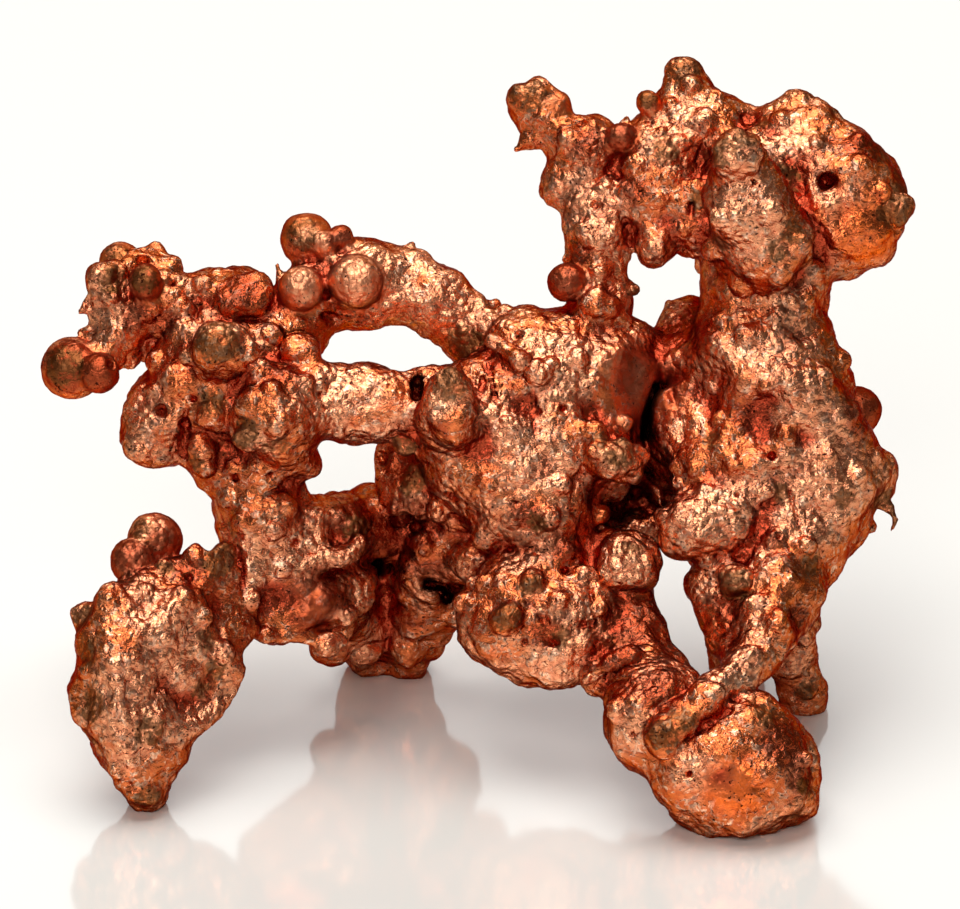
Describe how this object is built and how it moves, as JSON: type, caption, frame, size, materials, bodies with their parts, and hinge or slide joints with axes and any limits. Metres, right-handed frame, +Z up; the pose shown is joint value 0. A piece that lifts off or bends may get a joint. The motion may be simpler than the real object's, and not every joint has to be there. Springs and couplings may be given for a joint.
{
  "type": "native copper nugget",
  "caption": "Branching lump of natural copper metal: round lobes, arms and beads grown together, with open gaps between them, resting on its low points.",
  "frame": {"origin": "centre of the bounding box's bottom face, on the surface that the nugget rests on", "axes": "+Z up; +X along the longest extent, from the beaded arm to the heavy head; -Y is the side that faces a viewer"},
  "size_m": [0.0398, 0.027, 0.0292],
  "materials": {
    "copper": "bare native copper metal, finely hammered and bright on the high skin, dark red in the hollows, with thin olive-brown tarnish on knobs and edges"
  },
  "bodies": {
    "root": {"nugget": "copper"}
  },
  "joints": []
}
